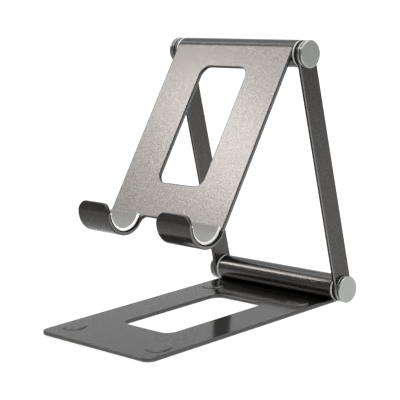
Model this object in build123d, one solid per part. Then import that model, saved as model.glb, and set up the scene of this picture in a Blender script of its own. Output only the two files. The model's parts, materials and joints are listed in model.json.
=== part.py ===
"""Folding phone stand: a base plate and a cradle plate joined by two side arms on friction hinges.

Frame: origin at the centre of the footprint, on the surface the feet stand on. +Z is up, the
hinge axes run along X, and the user sits on the -Y side. All sizes are in millimetres.
"""
import os

from build123d import *

os.makedirs("parts", exist_ok=True)

# Sheet metal shared by both plates
WIDTH = 75.6
SHEET = 1.8
TUBE_R = 6.25
BORE_R = TUBE_R - SHEET
ROLL_GAP_ANGLE = 55.0
EDGE_BREAK = 0.25

# Base plate, measured from the lower hinge axis towards the user
BASE_REACH = 119.35
BASE_CORNER_R = 4.5
BASE_WINDOW_NEAR = 28.0
BASE_WINDOW_FAR = 88.8
BASE_WINDOW_WIDTH = 32.6
WINDOW_CORNER_R = 5.0

# Feet and the dimples pressed over them
FOOT_X = 28.7
FOOT_REAR = 18.3
FOOT_FRONT = 105.7
FOOT_R = 4.7
FOOT_PROUD = 0.8
FOOT_ROUND = 0.35
DIMPLE_R = 5.7
DIMPLE_HEIGHT = 0.45
DIMPLE_ROUND = 0.43
RECESS_R = 4.75
RECESS_DEPTH = 0.6

# Arms
ARM_LENGTH = 113.44
ARM_LEAN = 9.05
ARM_THICKNESS = 1.8
ARM_WIDTH = 11.0
ARM_EYE_R = 6.1
ARM_NECK_R = 1.5
ARM_CHAMFER = 0.4

# Cradle plate, measured from the upper hinge axis down the slope
CRADLE_TILT = 55.9
CRADLE_WINDOW_NEAR = 11.0
CRADLE_WINDOW_FAR = 70.86
CRADLE_WINDOW_WIDTH = 29.9
CRADLE_LOWER_EDGE = 88.3
NOTCH_WIDTH = 32.6
NOTCH_CORNER_R = 3.0
HOOK_START = 90.55
HOOK_INNER_R = 8.9
HOOK_BEND = 159.0
LIP_LENGTH = 3.3
LIP_CORNER_R = 5.0

# Silicone pads inside the hooks
PAD_THICKNESS = 1.5
PAD_INSET = 1.0
PAD_START = 87.8
PAD_BEND = 152.0
PAD_ROUND = 0.3

# Hinge stack, from the tube's end outwards
RUNNING_GAP = 0.05
NYLON_R = 6.2
NYLON_THICKNESS = 1.6
FLANGE_THICKNESS = 1.0
SHOULDER_R = 5.25
STEEL_WASHER_R = 6.2
STEEL_WASHER_THICKNESS = 0.5
CAP_R = 6.3
CAP_HEIGHT = 1.85
CAP_WALL = 0.35
CAP_CHAMFER = 0.3
SPRING_R = 4.2
SPRING_THICKNESS = 0.3
SPRING_RISE = 0.25
SCREW_R = 1.2
SCREW_LENGTH = 8.0
SCREW_HEAD_R = 2.4
SCREW_HEAD_THICKNESS = 0.6
SCREW_SOCKET = 1.5
SCREW_SOCKET_DEPTH = 0.4
JOURNAL_R = 3.0
SHAFT_R = BORE_R - RUNNING_GAP
THREAD_R = SCREW_R + RUNNING_GAP
THREAD_DEPTH = 10.0

# Derived positions
HALF = WIDTH / 2
LOWER_AXIS = Pos(0, (BASE_REACH - CAP_R) / 2, FOOT_PROUD + TUBE_R)
UPPER_AXIS = LOWER_AXIS * Rot(X=ARM_LEAN) * Pos(0, 0, ARM_LENGTH) * Rot(X=-ARM_LEAN)
CRADLE = UPPER_AXIS * Rot(X=CRADLE_TILT)
NYLON_X = HALF + RUNNING_GAP
ARM_X = NYLON_X + NYLON_THICKNESS
STEEL_X = ARM_X + ARM_THICKNESS + RUNNING_GAP
CAP_X = STEEL_X + STEEL_WASHER_THICKNESS
HEAD_X = CAP_X + SPRING_THICKNESS + SPRING_RISE
THROUGH = 60.0


def sector(centre, inner, outer, start, sweep):
    """Flat ring sector about centre, from the angle start through sweep, in degrees."""
    outline = CenterArc(centre, outer, start, sweep) + CenterArc(centre, inner, start, sweep)
    outline += Line(CenterArc(centre, outer, start, sweep) @ 0, CenterArc(centre, inner, start, sweep) @ 0)
    outline += Line(CenterArc(centre, outer, start, sweep) @ 1, CenterArc(centre, inner, start, sweep) @ 1)
    return make_face(outline.edges())


def disc(x, radius, thickness):
    """Round disc on the hinge axis, its inner face at x."""
    return Pos(x + thickness / 2, 0, 0) * Rot(Y=90) * Cylinder(radius, thickness)


def rolled_profile(reach):
    """Side profile of a sheet that lies under the axis and rolls up behind it into a tube."""
    flat = Pos(-reach / 2, SHEET / 2 - TUBE_R) * Rectangle(reach, SHEET)
    return flat + sector((0, 0), BORE_R, TUBE_R, -90, 360 - ROLL_GAP_ANGLE)


def window(width, near, far):
    """Cutter for a rounded window between two distances from the hinge axis."""
    outline = Pos(0, -(near + far) / 2) * RectangleRounded(width, far - near, WINDOW_CORNER_R)
    return extrude(outline, THROUGH, both=True)


def break_edges(plate):
    """Break a sheet's edges; each curved edge carries the break along the straight ones beside it."""
    return chamfer(plate.edges().filter_by(GeomType.LINE, reverse=True), EDGE_BREAK)


def foot_places():
    """Name and location of each foot's centre on the underside of the base plate."""
    for end, distance in (("front", FOOT_FRONT), ("rear", FOOT_REAR)):
        for side, x in (("left", -FOOT_X), ("right", FOOT_X)):
            yield f"foot_{end}_{side}", Pos(x, -distance, -TUBE_R)


def base_plate():
    """Flat base with a window, four pressed dimples and the lower hinge tube."""
    plate = extrude(Plane.YZ * rolled_profile(BASE_REACH), HALF, both=True)
    front_corners = plate.edges().filter_by(Axis.Z).group_by(Axis.Y)[0]
    plate = fillet(front_corners, BASE_CORNER_R)
    plate -= window(BASE_WINDOW_WIDTH, BASE_WINDOW_NEAR, BASE_WINDOW_FAR)
    plate = break_edges(plate)
    dimple = Pos(0, 0, DIMPLE_HEIGHT / 2) * Cylinder(DIMPLE_R, DIMPLE_HEIGHT)
    dimple = fillet(dimple.edges().group_by(Axis.Z)[-1], DIMPLE_ROUND)
    recess = Pos(0, 0, RECESS_DEPTH / 2) * Cylinder(RECESS_R, RECESS_DEPTH)
    for _, place in foot_places():
        plate += place * Pos(0, 0, SHEET) * dimple
        plate -= place * recess
    return plate


def foot():
    """Rubber disc, glued into its recess and standing proud below it."""
    disc_height = RECESS_DEPTH + FOOT_PROUD
    rubber = Pos(0, 0, RECESS_DEPTH - disc_height / 2) * Cylinder(FOOT_R, disc_height)
    return fillet(rubber.edges().group_by(Axis.Z)[0], FOOT_ROUND)


def hook_profile(start, inner, thickness, bend, lip=0.0):
    """Side profile that runs down the plate's face from start, turns up round the hook's centre and
    may end in a straight lip."""
    centre = (-HOOK_START, -TUBE_R - HOOK_INNER_R)
    layer = inner + thickness / 2
    profile = Pos(*centre) * Pos((HOOK_START - start) / 2, layer) * Rectangle(HOOK_START - start, thickness)
    profile += sector(centre, inner, inner + thickness, 90, bend)
    if lip:
        profile += Pos(*centre) * Rot(Z=bend) * Pos(-lip / 2, layer) * Rectangle(lip, thickness)
    return profile


def cradle_plate():
    """Cradle with a window, the upper hinge tube and two hooks, built face down under its axis."""
    profile = rolled_profile(CRADLE_LOWER_EDGE)
    profile += hook_profile(CRADLE_LOWER_EDGE, HOOK_INNER_R, SHEET, HOOK_BEND, LIP_LENGTH)
    plate = extrude(Plane.YZ * profile, HALF, both=True)
    plate -= Pos(0, -CRADLE_LOWER_EDGE - THROUGH / 2, 0) * Box(NOTCH_WIDTH, THROUGH, THROUGH * 2)
    upright = plate.edges().filter_by(Axis.Z)
    notch_corners = upright.filter_by_position(Axis.X, -NOTCH_WIDTH / 2, NOTCH_WIDTH / 2)
    plate = fillet(notch_corners, NOTCH_CORNER_R)
    through_lip = Axis((0, 0, 0), Vector(0, 0, 1).rotate(Axis.X, HOOK_BEND))
    plate = fillet(plate.edges().filter_by(through_lip), LIP_CORNER_R)
    plate -= window(CRADLE_WINDOW_WIDTH, CRADLE_WINDOW_NEAR, CRADLE_WINDOW_FAR)
    return break_edges(plate)


def hook_pad(side):
    """Silicone strip lining one hook."""
    near = NOTCH_WIDTH / 2 + PAD_INSET
    far = HALF - PAD_INSET
    profile = hook_profile(PAD_START, HOOK_INNER_R - PAD_THICKNESS, PAD_THICKNESS, PAD_BEND)
    pad = extrude(Plane.YZ * profile, (far - near) / 2, both=True)
    return Pos(side * (near + far) / 2, 0, 0) * fillet(pad.edges(), PAD_ROUND)


def arm():
    """Flat bar with a round eye at each end, its inner face at x = 0 and the lower eye at the origin."""
    outline = Pos(0, ARM_LENGTH / 2) * Rectangle(ARM_WIDTH, ARM_LENGTH)
    eyes = (Pos(0, 0), Pos(0, ARM_LENGTH))
    for eye in eyes:
        outline += eye * Circle(ARM_EYE_R)
    between_eyes = outline.vertices().filter_by_position(Axis.Y, ARM_EYE_R / 4, ARM_LENGTH - ARM_EYE_R / 4)
    outline = fillet(between_eyes, ARM_NECK_R)
    bar = extrude(Plane.YZ * outline, ARM_THICKNESS)
    bar = chamfer(bar.edges().filter_by(Axis.X, reverse=True), ARM_CHAMFER)
    for eye in eyes:
        bar -= extrude(Plane.YZ * eye * Circle(JOURNAL_R + RUNNING_GAP), THROUGH, both=True)
    return bar


def shaft():
    """Hinge shaft: it turns in the tube's bore, and its two journals carry the washers and arms."""
    journal_end = CAP_X - RUNNING_GAP
    body = disc(-HALF, SHAFT_R, WIDTH)
    body += disc(-journal_end, JOURNAL_R, 2 * journal_end)
    body -= disc(-journal_end, THREAD_R, THREAD_DEPTH)
    body -= disc(journal_end - THREAD_DEPTH, THREAD_R, THREAD_DEPTH)
    return body


def steel_washer():
    """Flat washer that fits the shaft's journal."""
    ring = disc(STEEL_X, STEEL_WASHER_R, STEEL_WASHER_THICKNESS)
    ring = chamfer(ring.edges(), STEEL_WASHER_THICKNESS / 6)
    return ring - disc(STEEL_X, JOURNAL_R + RUNNING_GAP, STEEL_WASHER_THICKNESS)


def nylon_washer():
    """Nylon washer: a wide flange against the tube's end and a narrower shoulder against the arm."""
    ring = disc(NYLON_X, NYLON_R, FLANGE_THICKNESS)
    ring = chamfer(ring.edges(), FLANGE_THICKNESS / 6)
    ring += disc(NYLON_X, SHOULDER_R, NYLON_THICKNESS)
    return ring - disc(NYLON_X, JOURNAL_R + RUNNING_GAP, NYLON_THICKNESS)


def spring_washer():
    """Dished washer: its rim bears on the steel washer and its centre under the screw's head."""
    bore = THREAD_R + RUNNING_GAP
    outline = Polyline((CAP_X, SPRING_R), (CAP_X + SPRING_THICKNESS, SPRING_R), (HEAD_X, bore),
                       (CAP_X + SPRING_RISE, bore), close=True)
    return revolve(make_face(outline), Axis.X)


def screw():
    """Hinge screw with a thin round head and a hexagon socket."""
    head = disc(HEAD_X, SCREW_HEAD_R, SCREW_HEAD_THICKNESS)
    head = fillet(head.edges().group_by(Axis.X)[-1], SCREW_HEAD_THICKNESS / 4)
    hexagon = RegularPolygon(SCREW_SOCKET / 2, 6, major_radius=False)
    socket = extrude(Plane.YZ.offset(HEAD_X + SCREW_HEAD_THICKNESS) * hexagon, -SCREW_SOCKET_DEPTH)
    return head - socket + disc(HEAD_X - SCREW_LENGTH, SCREW_R, SCREW_LENGTH)


def cap():
    """Round cup that hides the screw; its rim sits on the steel washer."""
    cup = disc(CAP_X, CAP_R, CAP_HEIGHT)
    cup = chamfer(cup.edges().group_by(Axis.X)[-1], CAP_CHAMFER)
    return cup - disc(CAP_X, CAP_R - CAP_WALL, CAP_HEIGHT - CAP_WALL)


def hinge_end():
    """The loose pieces at the right end of a hinge, by name."""
    return {
        "nylon_washer": nylon_washer(),
        "steel_washer": steel_washer(),
        "spring_washer": spring_washer(),
        "screw": screw(),
        "cap": cap(),
    }


def build():
    """Every piece in its place at rest, by node name."""
    parts = {"base_plate": LOWER_AXIS * base_plate()}
    for name, place in foot_places():
        parts[name] = LOWER_AXIS * place * foot()
    parts["cradle_plate"] = CRADLE * mirror(cradle_plate(), Plane.XY)
    lean = LOWER_AXIS * Rot(X=ARM_LEAN)
    parts["left_arm"] = lean * Pos(-ARM_X - ARM_THICKNESS, 0, 0) * arm()
    parts["right_arm"] = lean * Pos(ARM_X, 0, 0) * arm()
    for side, name in ((-1, "left"), (1, "right")):
        parts[f"{name}_hook_pad"] = CRADLE * mirror(hook_pad(side), Plane.XY)
    for hinge, axis in (("lower", LOWER_AXIS), ("upper", UPPER_AXIS)):
        parts[f"{hinge}_shaft"] = axis * shaft()
        for piece, solid in hinge_end().items():
            parts[f"{hinge}_right_{piece}"] = axis * solid
            parts[f"{hinge}_left_{piece}"] = axis * mirror(solid, Plane.YZ)
    return parts


for node, solid in build().items():
    solid.label = node
    export_step(solid, f"parts/{node}.step")
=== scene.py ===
"""Folding phone stand in gunmetal metallic paint, on a pale studio floor.

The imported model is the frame. Its sheet metal, shafts, screws and spring washers keep their CAD shape and
get a material, and finer meshes replace the small turned and moulded pieces. Everything is in metres.
"""
import json
import math

import bmesh
import bpy
from mathutils import Matrix, Vector


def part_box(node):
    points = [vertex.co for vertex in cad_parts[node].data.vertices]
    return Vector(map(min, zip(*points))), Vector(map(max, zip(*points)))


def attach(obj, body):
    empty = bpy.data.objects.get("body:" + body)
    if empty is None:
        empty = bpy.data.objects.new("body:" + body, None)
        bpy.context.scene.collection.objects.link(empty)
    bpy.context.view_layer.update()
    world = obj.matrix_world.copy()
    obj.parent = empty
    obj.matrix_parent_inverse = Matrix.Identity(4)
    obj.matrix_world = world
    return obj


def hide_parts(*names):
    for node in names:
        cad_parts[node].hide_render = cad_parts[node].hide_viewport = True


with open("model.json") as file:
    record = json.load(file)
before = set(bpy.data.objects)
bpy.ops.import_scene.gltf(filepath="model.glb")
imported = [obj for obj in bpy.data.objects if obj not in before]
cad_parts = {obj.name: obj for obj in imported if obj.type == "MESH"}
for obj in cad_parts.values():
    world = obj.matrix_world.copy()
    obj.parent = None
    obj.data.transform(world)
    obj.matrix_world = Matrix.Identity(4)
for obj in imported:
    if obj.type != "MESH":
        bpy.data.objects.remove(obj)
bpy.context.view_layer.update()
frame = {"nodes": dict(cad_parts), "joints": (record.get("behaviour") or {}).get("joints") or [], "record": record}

MM = 0.001
joints = {joint["name"]: joint for joint in frame["joints"]}
LOWER_AXIS = Vector(joints["arm_recline"]["pos_m"])
UPPER_AXIS = Vector(joints["cradle_tilt"]["pos_m"])
BODY = {node: body for body, nodes in frame["record"]["behaviour"]["bodies"].items() for node in nodes}
SLOT = {subpart["node"]: subpart["material_slot"] for subpart in frame["record"]["subparts"]}

# The view: angles in degrees, target from the lower hinge and distance in metres, lens in millimetres
VIEW_AZIMUTH = 47.535
VIEW_ELEVATION = 10.84
VIEW_ROLL = -3.605
VIEW_TARGET = Vector((-11.03, -40.0, 44.43)) * MM
VIEW_DISTANCE = 0.66778
SENSOR_WIDTH = 36.0
LENS = 127.65

# The floor, in metres from its middle to its sides, and its colour and glow where it is brightest
FLOOR_HALF = 6.0
FLOOR_COLOUR = (0.15, 0.15, 0.15)
FLOOR_GLOW = (0.98, 0.98, 0.98)

# The room's own light, and the tints of the lights in it
ROOM_LIGHT = (0.30, 0.30, 0.30)
WHITE = (1.0, 1.0, 1.0)
WARM = (1.04, 0.975, 0.93)

# The cradle's slope in degrees and its hooks in millimetres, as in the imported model
CRADLE_TILT = 55.9
TUBE_R = 6.25
HOOK_START = 90.55
HOOK_INNER_R = 8.9
HOOK_NEAR = 16.3
HOOK_FAR = 37.8

# Each layer in a hook: its ends along X, its start down the cradle, its bend in degrees, and its height
LINING = {"near": 17.3, "far": 36.8, "start": 87.8, "bend": 152.0, "height": 1.5, "rounding": 0.35}
# A black strip under each lining: partly adhesive, partly a dark sheet painted in as the shade at the lining's
# edge and on the hook's cut edge, which it reaches past and into
GLUE_AND_SHADE_PROUD = 0.05
GLUE_AND_SHADE = {"near": HOOK_NEAR - GLUE_AND_SHADE_PROUD, "far": HOOK_FAR + GLUE_AND_SHADE_PROUD, "start": HOOK_START - 1.0,
        "bend": 149.0, "height": 0.22, "rounding": 0.1, "sink": 0.9}

# Gunmetal paint: its two shades, the size and lean of its flakes, and the radius of its soft edges
PAINT_DARK = (0.035, 0.032, 0.029)
PAINT_BRIGHT = (0.044, 0.041, 0.037)
FLAKE_SIZE = 0.3 * MM
FLAKE_TILT = 0.35
EDGE_RADIUS = 0.75 * MM
COAT_IOR = 1.55

# Painted shade on the nylon washers, on the side towards the arm, which fades in between these distances from the
# middle of the hinge
NYLON_SHADE_FROM = 38.7 * MM
NYLON_SHADE_FULL = 38.8 * MM

# Outlines in millimetres of (along the axis, out from it, rounding), turned about the piece's own axis
CAP_OUTLINE = ((1.85, 0.02, 0.0), (1.85, 5.95, 0.08), (1.52, 6.28, 0.08), (0.66, 6.28, 0.08),
               (0.58, 6.0, 0.05), (0.55, 5.6, 0.05), (0.02, 5.6, 0.05), (0.02, 5.3, 0.03),
               (1.5, 5.3, 0.1), (1.5, 0.02, 0.0))
NYLON_OUTLINE = ((0.02, 3.08, 0.05), (0.02, 6.15, 0.3), (1.0, 6.15, 0.3), (1.0, 5.25, 0.1),
                 (1.58, 5.25, 0.1), (1.58, 3.08, 0.05))
STEEL_OUTLINE = ((0.02, 3.08, 0.05), (0.02, 6.15, 0.14), (0.48, 6.15, 0.14), (0.48, 3.08, 0.05))
FOOT_OUTLINE = ((0.02, 0.02, 0.0), (0.02, 4.65, 0.25), (1.38, 4.65, 0.05), (1.38, 0.02, 0.0))

# An edge that turns by more than this stays sharp
SHARP_ANGLE = math.radians(40)


# ---------------------------------------------------------------- camera, light and floor

def view_direction(azimuth, elevation):
    """Unit vector from the object towards a place at that azimuth and elevation, in degrees."""
    az, el = math.radians(azimuth), math.radians(elevation)
    return Vector((math.sin(az) * math.cos(el), -math.cos(az) * math.cos(el), math.sin(el)))


def add_camera():
    back = view_direction(VIEW_AZIMUTH, VIEW_ELEVATION)
    right = Vector((0, 0, 1)).cross(back).normalized()
    up = back.cross(right)
    roll = Matrix.Rotation(math.radians(VIEW_ROLL), 4, "Z")
    turn = Matrix((right, up, back)).transposed().to_4x4() @ roll
    data = bpy.data.cameras.new("camera")
    data.sensor_width = SENSOR_WIDTH
    data.lens = LENS
    data.clip_start = 0.01
    camera = bpy.data.objects.new("camera", data)
    camera.matrix_world = Matrix.Translation(LOWER_AXIS + VIEW_TARGET + back * VIEW_DISTANCE) @ turn
    bpy.context.scene.collection.objects.link(camera)
    bpy.context.scene.camera = camera


class Tree:
    """A node tree, with short ways to add and join its nodes."""

    def __init__(self, tree):
        self.tree = tree

    def link(self, output, target):
        self.tree.links.new(output, target)

    def add(self, kind, inputs=None, **settings):
        node = self.tree.nodes.new("ShaderNode" + kind)
        for key, value in settings.items():
            setattr(node, key, value)
        for key, value in (inputs or {}).items():
            if isinstance(value, bpy.types.NodeSocket):
                self.link(value, node.inputs[key])
            else:
                node.inputs[key].default_value = value
        return node

    def math(self, operation, a, b):
        return self.add("Math", {0: a, 1: b}, operation=operation).outputs[0]

    def vector(self, operation, a, b):
        return self.add("VectorMath", {0: a, 1: b}, operation=operation).outputs["Vector"]

    def scale(self, vector, factor):
        return self.add("VectorMath", {0: vector, "Scale": factor}, operation="SCALE").outputs["Vector"]

    def dot(self, vector, direction):
        return self.add("VectorMath", {0: vector, 1: direction}, operation="DOT_PRODUCT").outputs["Value"]

    def remap(self, value, low, high, to_low, to_high, curve="LINEAR"):
        node = self.add("MapRange", {"Value": value, "From Min": low, "From Max": high,
                                     "To Min": to_low, "To Max": to_high}, interpolation_type=curve)
        return node.outputs["Result"]

    def smooth(self, value, low, high, gain=1.0):
        """0 below low and gain above high, with a soft step between them; high may be the lower one."""
        return self.remap(value, low, high, 0.0, gain, "SMOOTHSTEP")


def softbox(tree, ray, azimuth, elevation, radiance, width, height):
    """Soft rectangle of light in that direction.

    width and height are the sines from its middle to its bright core's edge and to its dark rim."""
    centre = view_direction(azimuth, elevation)
    across = Vector((0, 0, 1)).cross(centre).normalized()
    light = tree.smooth(tree.dot(ray, centre), 0.0, 0.5, radiance)
    for axis, (core, rim) in ((across, width), (centre.cross(across), height)):
        offset = tree.math("ABSOLUTE", tree.dot(ray, axis), 0.0)
        light = tree.math("MULTIPLY", light, tree.smooth(offset, rim, core))
    return light


def add_world():
    """Dim room: bright ceiling, lighter wall at the back left, two dim softboxes and a warm key light."""
    world = bpy.data.worlds.new("studio")
    bpy.context.scene.world = world
    world.use_nodes = True
    tree = Tree(world.node_tree)
    ray = tree.add("TexCoord").outputs["Generated"]
    level = tree.dot(ray, (0, 0, 1))
    upper_half = tree.smooth(level, 0.0, 0.3, gain=0.15)
    ceiling = tree.smooth(level, 0.55, 0.95, gain=2.1)
    back_wall = tree.smooth(tree.dot(ray, (-0.62, 0.78, 0.0)), 0.3, 0.9, gain=0.36)
    left_box = softbox(tree, ray, azimuth=-90.0, elevation=43.5, radiance=1.6,
                       width=(0.03, 0.20), height=(0.02, 0.12))
    rear_box = softbox(tree, ray, azimuth=132.5, elevation=13.0, radiance=1.3,
                       width=(0.10, 0.50), height=(0.10, 0.30))
    key_light = softbox(tree, ray, azimuth=-60.4, elevation=36.25, radiance=7.5,
                        width=(0.02, 0.15), height=(0.03, 0.215))
    key_stripe = softbox(tree, ray, azimuth=-60.6, elevation=35.45, radiance=7.2,
                         width=(0.03, 0.13), height=(0.008, 0.055))
    light = ROOM_LIGHT
    for colour, parts in ((WHITE, (upper_half, ceiling, back_wall, left_box, rear_box)),
                          (WARM, (key_light, key_stripe))):
        for part in parts:
            light = tree.vector("ADD", light, tree.scale(colour, part))
    background = world.node_tree.nodes["Background"]
    tree.link(light, background.inputs["Color"])
    background.inputs["Strength"].default_value = 1.0


# ---------------------------------------------------------------- materials

class Shader(Tree):
    """A material's node tree, and the textures that the finishes share."""

    def __init__(self, name):
        self.material = bpy.data.materials.new(name)
        self.material.use_nodes = True
        super().__init__(self.material.node_tree)
        self.bsdf = self.tree.nodes["Principled BSDF"]

    def set(self, **sockets):
        """Gives each named socket of the shader a constant, or joins it to an output."""
        for name, value in sockets.items():
            socket = self.bsdf.inputs[name.replace("_", " ")]
            if isinstance(value, bpy.types.NodeSocket):
                self.link(value, socket)
            else:
                socket.default_value = value

    def place(self):
        return self.add("TexCoord").outputs["Object"]

    def along_x(self):
        return self.dot(self.place(), (1, 0, 0))

    def noise(self, scale, detail=2.0, roughness=0.5):
        """Noise of about scale grains to the metre."""
        node = self.add("TexNoise", {"Scale": scale, "Detail": detail, "Roughness": roughness,
                                     "Vector": self.place()})
        return node.outputs["Fac"]

    def grain(self, scale, low, high, detail=2.0, roughness=0.5):
        """Noise that runs from low to high."""
        return self.remap(self.noise(scale, detail, roughness), 0.3, 0.7, low, high)

    def clouds(self, scale, dark, bright):
        """Colour that drifts between two shades."""
        return self.mix(self.noise(scale, 3.0), dark, bright)

    def facing(self, normal=None):
        """How squarely a face looks along the X axis, from 0 to 1."""
        normal = normal or self.add("NewGeometry").outputs["Normal"]
        return self.math("ABSOLUTE", self.dot(normal, (1, 0, 0)), 0.0)

    def chamfers(self):
        """Up to 1 where a face leans 10 to 53 degrees off the X axis, as chamfers and bevels do."""
        facing = self.facing()
        return self.math("MULTIPLY", self.smooth(facing, 0.6, 0.8), self.smooth(facing, 0.985, 0.95))

    def mix(self, factor, a, b):
        node = self.add("Mix", {"Factor": factor}, data_type="RGBA")
        for socket, value in ((node.inputs[6], a), (node.inputs[7], b)):
            if isinstance(value, bpy.types.NodeSocket):
                self.link(value, socket)
            else:
                socket.default_value = (*value, 1)
        return node.outputs[2]

    def bump(self, height, distance, normal=None):
        inputs = {"Height": height, "Distance": distance, "Strength": 1.0}
        if normal is not None:
            inputs["Normal"] = normal
        return self.add("Bump", inputs).outputs["Normal"]

    def flakes(self, straight, size, tilt):
        """Normals of small cells that each lean their own way, like the flakes in metallic paint."""
        cells = self.add("TexVoronoi", {"Vector": self.place(), "Scale": 1.0 / size}).outputs["Color"]
        lean = self.scale(self.vector("SUBTRACT", cells, (0.5, 0.5, 0.5)), tilt)
        total = self.vector("ADD", straight, lean)
        return self.add("VectorMath", {0: total}, operation="NORMALIZE").outputs["Vector"]


def add_floor():
    """Pale light table that gets darker towards the front left and far away at the back right."""
    mesh = bpy.data.meshes.new("floor")
    corners = [(x * FLOOR_HALF, y * FLOOR_HALF, 0) for x, y in ((-1, -1), (1, -1), (1, 1), (-1, 1))]
    mesh.from_pydata(corners, [], [(0, 1, 2, 3)])
    floor = bpy.data.objects.new("floor", mesh)
    bpy.context.scene.collection.objects.link(floor)
    shader = Shader("pale_floor")
    front_left = shader.dot(shader.place(), (-0.56, -0.828, 0.0))
    back_right = shader.dot(shader.place(), (0.737, 0.676, 0.0))
    level = shader.math("ADD", shader.smooth(front_left, 0.22, 0.0, gain=0.41),
                        shader.smooth(back_right, 1.3, 0.25, gain=0.59))
    shader.set(Base_Color=shader.scale(FLOOR_COLOUR, level), Roughness=0.9, Specular_IOR_Level=0.1,
               Emission_Color=shader.scale(FLOOR_GLOW, level), Emission_Strength=1.0)
    mesh.materials.append(shader.material)


class Paint(Shader):
    """Gunmetal flake paint; the colour given for its edges stands partly for wear and partly for painted light
    along them: a painted highlight where it is lighter than the paint, painted shade where it is darker; thinnest
    is the least weight of its clear coat.
    """

    def __init__(self, name, edge_wear_and_shading, thinnest, coat_roughness):
        super().__init__(name)
        speckle = self.grain(1300.0, 0.4, 1.6, detail=3.0, roughness=0.7)
        speckled = self.scale(self.clouds(60.0, PAINT_DARK, PAINT_BRIGHT), speckle)
        # Chamfers take the edge colour: partly wear, partly painted light along the edges
        self.colour = self.mix(self.chamfers(), speckled, edge_wear_and_shading)
        self.soft = self.add("Bevel", {"Radius": EDGE_RADIUS}, samples=8).outputs["Normal"]
        self.film = self.grain(1700.0, thinnest, 1.0, roughness=0.8)
        self.set(Base_Color=self.colour, Metallic=1.0, Roughness=self.grain(2600.0, 0.16, 0.26),
                 Normal=self.flakes(self.soft, FLAKE_SIZE, FLAKE_TILT), Specular_Tint=(0.25, 0.25, 0.25, 1))
        self.set(Coat_Weight=self.film, Coat_Roughness=coat_roughness, Coat_IOR=COAT_IOR,
                 Coat_Normal=self.bump(self.noise(420.0), 0.001 * MM, normal=self.soft))


def cradle_paint():
    """The paint on the cradle, painted darker along its edges as painted shade there, and lighter where its sides
    and window were cut.
    """
    paint = Paint("gunmetal_paint", edge_wear_and_shading=(0.02, 0.019, 0.018), thinnest=0.61, coat_roughness=0.14)
    cut = paint.smooth(paint.facing(paint.soft), 0.96, 0.99)
    paint.set(Base_Color=paint.mix(cut, paint.colour, (0.14, 0.137, 0.134)))
    return paint.material


def arm_paint():
    """The paint on the arms, with chamfers painted light, partly wear and partly a painted highlight along them,
    and a thin clear coat on their narrow sides.
    """
    paint = Paint("gunmetal_paint_arms", edge_wear_and_shading=(0.27, 0.265, 0.26), thinnest=0.62, coat_roughness=0.14)
    broad = paint.remap(paint.facing(), 0.1, 0.5, 0.25, 1.0)
    paint.set(Coat_Weight=paint.math("MULTIPLY", paint.film, broad))
    return paint.material


def base_paint():
    """The paint on the base, with an even and glossier clear coat."""
    # Its edges are painted a little lighter than the paint, partly wear and partly a painted highlight
    paint = Paint("gunmetal_paint_base", edge_wear_and_shading=(0.05, 0.049, 0.048), thinnest=0.88, coat_roughness=0.125)
    return paint.material


def turned_metal(name, colour, roughness):
    """Metal turned about the object's X axis, with fine rings and light scratches; its sides are darker, partly a
    duller finish and partly painted shade in recesses such as the cap's neck, and its chamfers lighter, partly
    polish and partly a painted highlight.
    """
    shader = Shader(name)
    radial = shader.vector("MULTIPLY", shader.place(), (0.0, 1.0, 1.0))
    radius = shader.add("VectorMath", {0: radial}, operation="LENGTH").outputs["Value"]
    lines = shader.add("TexNoise", {"W": radius, "Scale": 9000.0, "Detail": 3.0}, noise_dimensions="1D")
    rings = shader.math("MULTIPLY", lines.outputs["Fac"], shader.smooth(radius, 0.0, 3.0 * MM))
    # Sides painted darker: partly their duller finish, partly painted shade in recesses such as the cap's neck;
    # chamfers painted lighter: partly polish, partly a painted highlight
    dull_and_shaded, dark, bright = (tuple(min(1.0, c * gain) for c in colour) for gain in (0.5, 0.92, 1.3))
    faces = shader.clouds(220.0, dark, colour)
    ends = shader.mix(shader.smooth(shader.facing(), 0.1, 0.5), dull_and_shaded, faces)
    shader.set(Base_Color=shader.mix(shader.chamfers(), ends, bright), Metallic=1.0,
               Roughness=shader.grain(1800.0, roughness * 0.8, roughness * 1.2, detail=3.0),
               Normal=shader.bump(rings, 0.0015 * MM))
    return shader.material


def white_nylon():
    """Natural nylon, painted near black on the side towards the arm, as shade in the groove between its flange and
    the arm.
    """
    shader = Shader("white_nylon")
    unshaded_nylon = shader.clouds(500.0, (0.60, 0.60, 0.59), (0.70, 0.70, 0.69))
    along = shader.math("ABSOLUTE", shader.along_x(), 0.0)
    # Painted shade: near black over the shoulder that sits in the groove by the arm
    painted_shade = shader.smooth(along, NYLON_SHADE_FROM, NYLON_SHADE_FULL)
    shader.set(Base_Color=shader.mix(painted_shade, unshaded_nylon, (0.03, 0.03, 0.028)), Roughness=0.38,
               Subsurface_Weight=0.15, Subsurface_Scale=0.5 * MM,
               Normal=shader.bump(shader.noise(3000.0), 0.006 * MM))
    return shader.material


def silicone():
    """Translucent silicone: grey where the hook shows through it, and near white at its cut sides, partly its own
    milky tone and partly painted light passing through.

    The cut sides also glow a little, as painted light coming through them, and less and less towards the right."""
    shader = Shader("silicone")
    face = shader.clouds(260.0, (0.21, 0.21, 0.205), (0.25, 0.25, 0.245))
    # Near-white cut sides and their glow: partly the silicone's milky tone, partly painted light passing through
    # it
    milky_and_lit_sides = shader.smooth(shader.facing(), 0.3, 0.8)
    glow = shader.remap(shader.along_x(), -15.0 * MM, 15.0 * MM, 0.42, 0.03)
    shader.set(Base_Color=shader.mix(milky_and_lit_sides, face, (0.93, 0.93, 0.92)), Roughness=0.42,
               Subsurface_Weight=0.2, Subsurface_Scale=0.6 * MM,
               Emission_Color=(1.0, 1.0, 0.98, 1), Emission_Strength=shader.math("MULTIPLY", milky_and_lit_sides, glow),
               Normal=shader.bump(shader.noise(2400.0), 0.01 * MM))
    return shader.material


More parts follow.
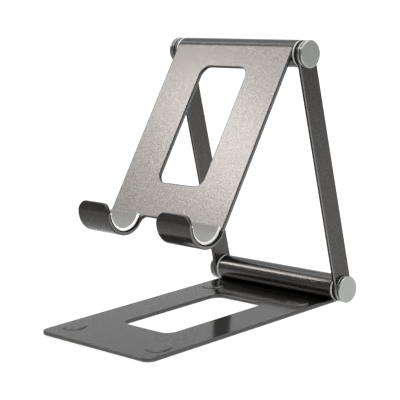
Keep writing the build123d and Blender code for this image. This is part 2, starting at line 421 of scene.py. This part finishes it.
# Black strip under each silicone lining: partly adhesive, partly a dark sheet standing for the shade at the
# lining's edge and on the hook's cut edge
def black_glue_and_shade():
    shader = Shader("black_glue_and_shade")
    shader.set(Base_Color=shader.clouds(700.0, (0.006, 0.006, 0.006), (0.014, 0.014, 0.014)), Roughness=0.9,
               Specular_IOR_Level=0.1, Normal=shader.bump(shader.noise(1500.0, 3.0), 0.03 * MM))
    return shader.material


def black_rubber():
    shader = Shader("black_rubber")
    shader.set(Base_Color=shader.clouds(300.0, (0.018, 0.018, 0.018), (0.032, 0.032, 0.032)), Roughness=0.7,
               Normal=shader.bump(shader.noise(1800.0, 3.0), 0.02 * MM))
    return shader.material


# ---------------------------------------------------------------- finer meshes

def rounded(corners, steps=5, least=0.005):
    """Closed outline through corners given as (x, y, radius), each rounded by at least the least radius."""
    points = []
    for index, (x, y, asked) in enumerate(corners):
        radius = max(asked, least)
        here = Vector((x, y))
        before = (Vector(corners[index - 1][:2]) - here).normalized()
        after = (Vector(corners[(index + 1) % len(corners)][:2]) - here).normalized()
        half = before.angle(after) / 2
        centre = here + (before + after).normalized() * (radius / math.sin(half))
        start = here + before * (radius / math.tan(half)) - centre
        sweep = start.angle_signed(here + after * (radius / math.tan(half)) - centre)
        for step in range(steps + 1):
            points.append(centre + Matrix.Rotation(-sweep * step / steps, 2) @ start)
    return points


def skin(rings, close_ends=True):
    """Mesh through rings of points, each joined to the next."""
    mesh = bmesh.new()
    loops = [[mesh.verts.new(point) for point in ring] for ring in rings]
    count = len(loops[0])
    pairs = list(zip(loops, loops[1:]))
    if not close_ends:
        pairs.append((loops[-1], loops[0]))
    for first, second in pairs:
        for index in range(count):
            following = (index + 1) % count
            mesh.faces.new((first[index], first[following], second[following], second[index]))
    if close_ends:
        mesh.faces.new(loops[0][::-1])
        mesh.faces.new(loops[-1])
    bmesh.ops.recalc_face_normals(mesh, faces=mesh.faces)
    for face in mesh.faces:
        face.smooth = True
    return mesh


def show(name, mesh, origin, body, material, slot, *replaced):
    """Puts a mesh in the scene on a CAD body, in place of the CAD nodes it replaces."""
    data = bpy.data.meshes.new(name)
    mesh.to_mesh(data)
    mesh.free()
    data.materials.append(material)
    data.set_sharp_from_angle(angle=SHARP_ANGLE)
    piece = bpy.data.objects.new(name, data)
    piece.location = origin
    bpy.context.scene.collection.objects.link(piece)
    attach(piece, body)
    if replaced:
        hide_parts(*replaced)


def turn(outline, axis, segments=128):
    """Mesh of an outline of (along, radius) points in millimetres, turned about an axis."""
    along = Vector(axis)
    across = along.orthogonal().normalized()
    rings = []
    for step in range(segments):
        spoke = Matrix.Rotation(2 * math.pi * step / segments, 3, along) @ across
        rings.append([(along * point[0] + spoke * point[1]) * MM for point in outline])
    return skin(rings, close_ends=False)


def place_hinge_pieces():
    """Caps, nylon washers and steel washers at both ends of both hinges, each where its CAD node starts."""
    outlines = {"nylon_washer": NYLON_OUTLINE, "steel_washer": STEEL_OUTLINE, "cap": CAP_OUTLINE}
    for hinge, centre in (("lower", LOWER_AXIS), ("upper", UPPER_AXIS)):
        for side, sign in (("left", -1), ("right", 1)):
            for kind, corners in outlines.items():
                node = f"{hinge}_{side}_{kind}"
                start = min(abs(corner[0]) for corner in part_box(node)) / MM
                outline = [point + Vector((start, 0)) for point in rounded(corners)]
                mesh = turn(outline, (sign, 0, 0))
                show(node + "_turned", mesh, centre, BODY[node], finishes[SLOT[node]], SLOT[node], node)


def place_feet():
    """Moulded rubber feet, each turned about the middle of its CAD node."""
    for node in (name for name in SLOT if name.startswith("foot_")):
        low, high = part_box(node)
        centre = Vector(((low[0] + high[0]) / 2, (low[1] + high[1]) / 2, low[2]))
        mesh = turn(rounded(FOOT_OUTLINE), (0, 0, 1))
        show(node + "_moulded", mesh, centre, BODY[node], finishes["rubber"], "rubber", node)


def hook_layer(near, far, start, bend, height, rounding, sink=0.0):
    """Strip of that height on the inside of a right hook, with its upper edges and ends rounded.

    It reaches down into the hook by sink at its start, and by less and less for two thirds of its length."""
    spans = 48
    slant = 0.02
    sharp = 0.01
    soft = rounding * 0.9
    tilt = math.radians(CRADLE_TILT)
    down = Vector((0, -math.cos(tilt), -math.sin(tilt)))
    out = Vector((0, -math.sin(tilt), math.cos(tilt)))
    straight = HOOK_START - start
    length = straight + HOOK_INNER_R * math.radians(bend)
    ends = [rounding * (1 - math.cos(math.radians(angle))) for angle in range(0, 91, 18)]
    middle = [ends[-1] + (length - 2 * ends[-1]) * step / spans for step in range(1, spans)]
    rings = []
    for distance in ends + middle + [length - end for end in reversed(ends)]:
        inset = max(0.0, rounding - min(distance, length - distance))
        top = height - rounding + math.sqrt(max(0.0, rounding ** 2 - inset ** 2))
        bottom = -sink * max(0.0, 1 - 1.5 * distance / length)
        outline = rounded(((near, bottom, sharp), (far, bottom, sharp), (far - slant, top, soft),
                           (near + slant, top, soft)))
        turned = max(0.0, distance - straight) / HOOK_INNER_R
        level = min(distance, straight) + start
        ring = []
        for x, lift in outline:
            radius = HOOK_INNER_R - lift
            slope = level + radius * math.sin(turned)
            normal = HOOK_INNER_R - radius * math.cos(turned)
            ring.append(Vector((x, 0, 0)) * MM + (down * slope + out * (TUBE_R + normal)) * MM)
        rings.append(ring)
    return skin(rings)


def place_linings():
    """Silicone lining and the black strip under it in each hook, partly adhesive and partly painted shade; the
    left hook's are the mirror of the right hook's.
    """
    for side in ("left", "right"):
        node = f"{side}_hook_pad"
        for name, layer, finish, slot, replaced in (("_lining", LINING, "silicone", "silicone", (node,)),
                                                    ("_glue_and_shade", GLUE_AND_SHADE, "glue", "rubber", ())):
            mesh = hook_layer(**layer)
            if side == "left":
                bmesh.ops.scale(mesh, vec=(-1, 1, 1), verts=mesh.verts)
                bmesh.ops.reverse_faces(mesh, faces=mesh.faces)
            show(node + name, mesh, UPPER_AXIS, BODY[node], finishes[finish], slot, *replaced)


# ---------------------------------------------------------------- scene

add_camera()
add_world()
add_floor()
bpy.context.scene.view_settings.view_transform = "Standard"

finishes = {
    "steel": turned_metal("bright_steel", (0.55, 0.55, 0.54), 0.22),
    "cap_metal": turned_metal("cap_metal", (0.35, 0.364, 0.35), 0.3),
    "nylon": white_nylon(),
    "silicone": silicone(),
    "rubber": black_rubber(),
    "glue": black_glue_and_shade(),
}
arms = arm_paint()
paints = {"base_plate": base_paint(), "cradle_plate": cradle_paint(), "left_arm": arms, "right_arm": arms}
for name, slot in SLOT.items():
    node = frame["nodes"][name]
    node.data.materials.clear()
    node.data.materials.append(paints[name] if name in paints else finishes[slot])
place_hinge_pieces()
place_feet()
place_linings()
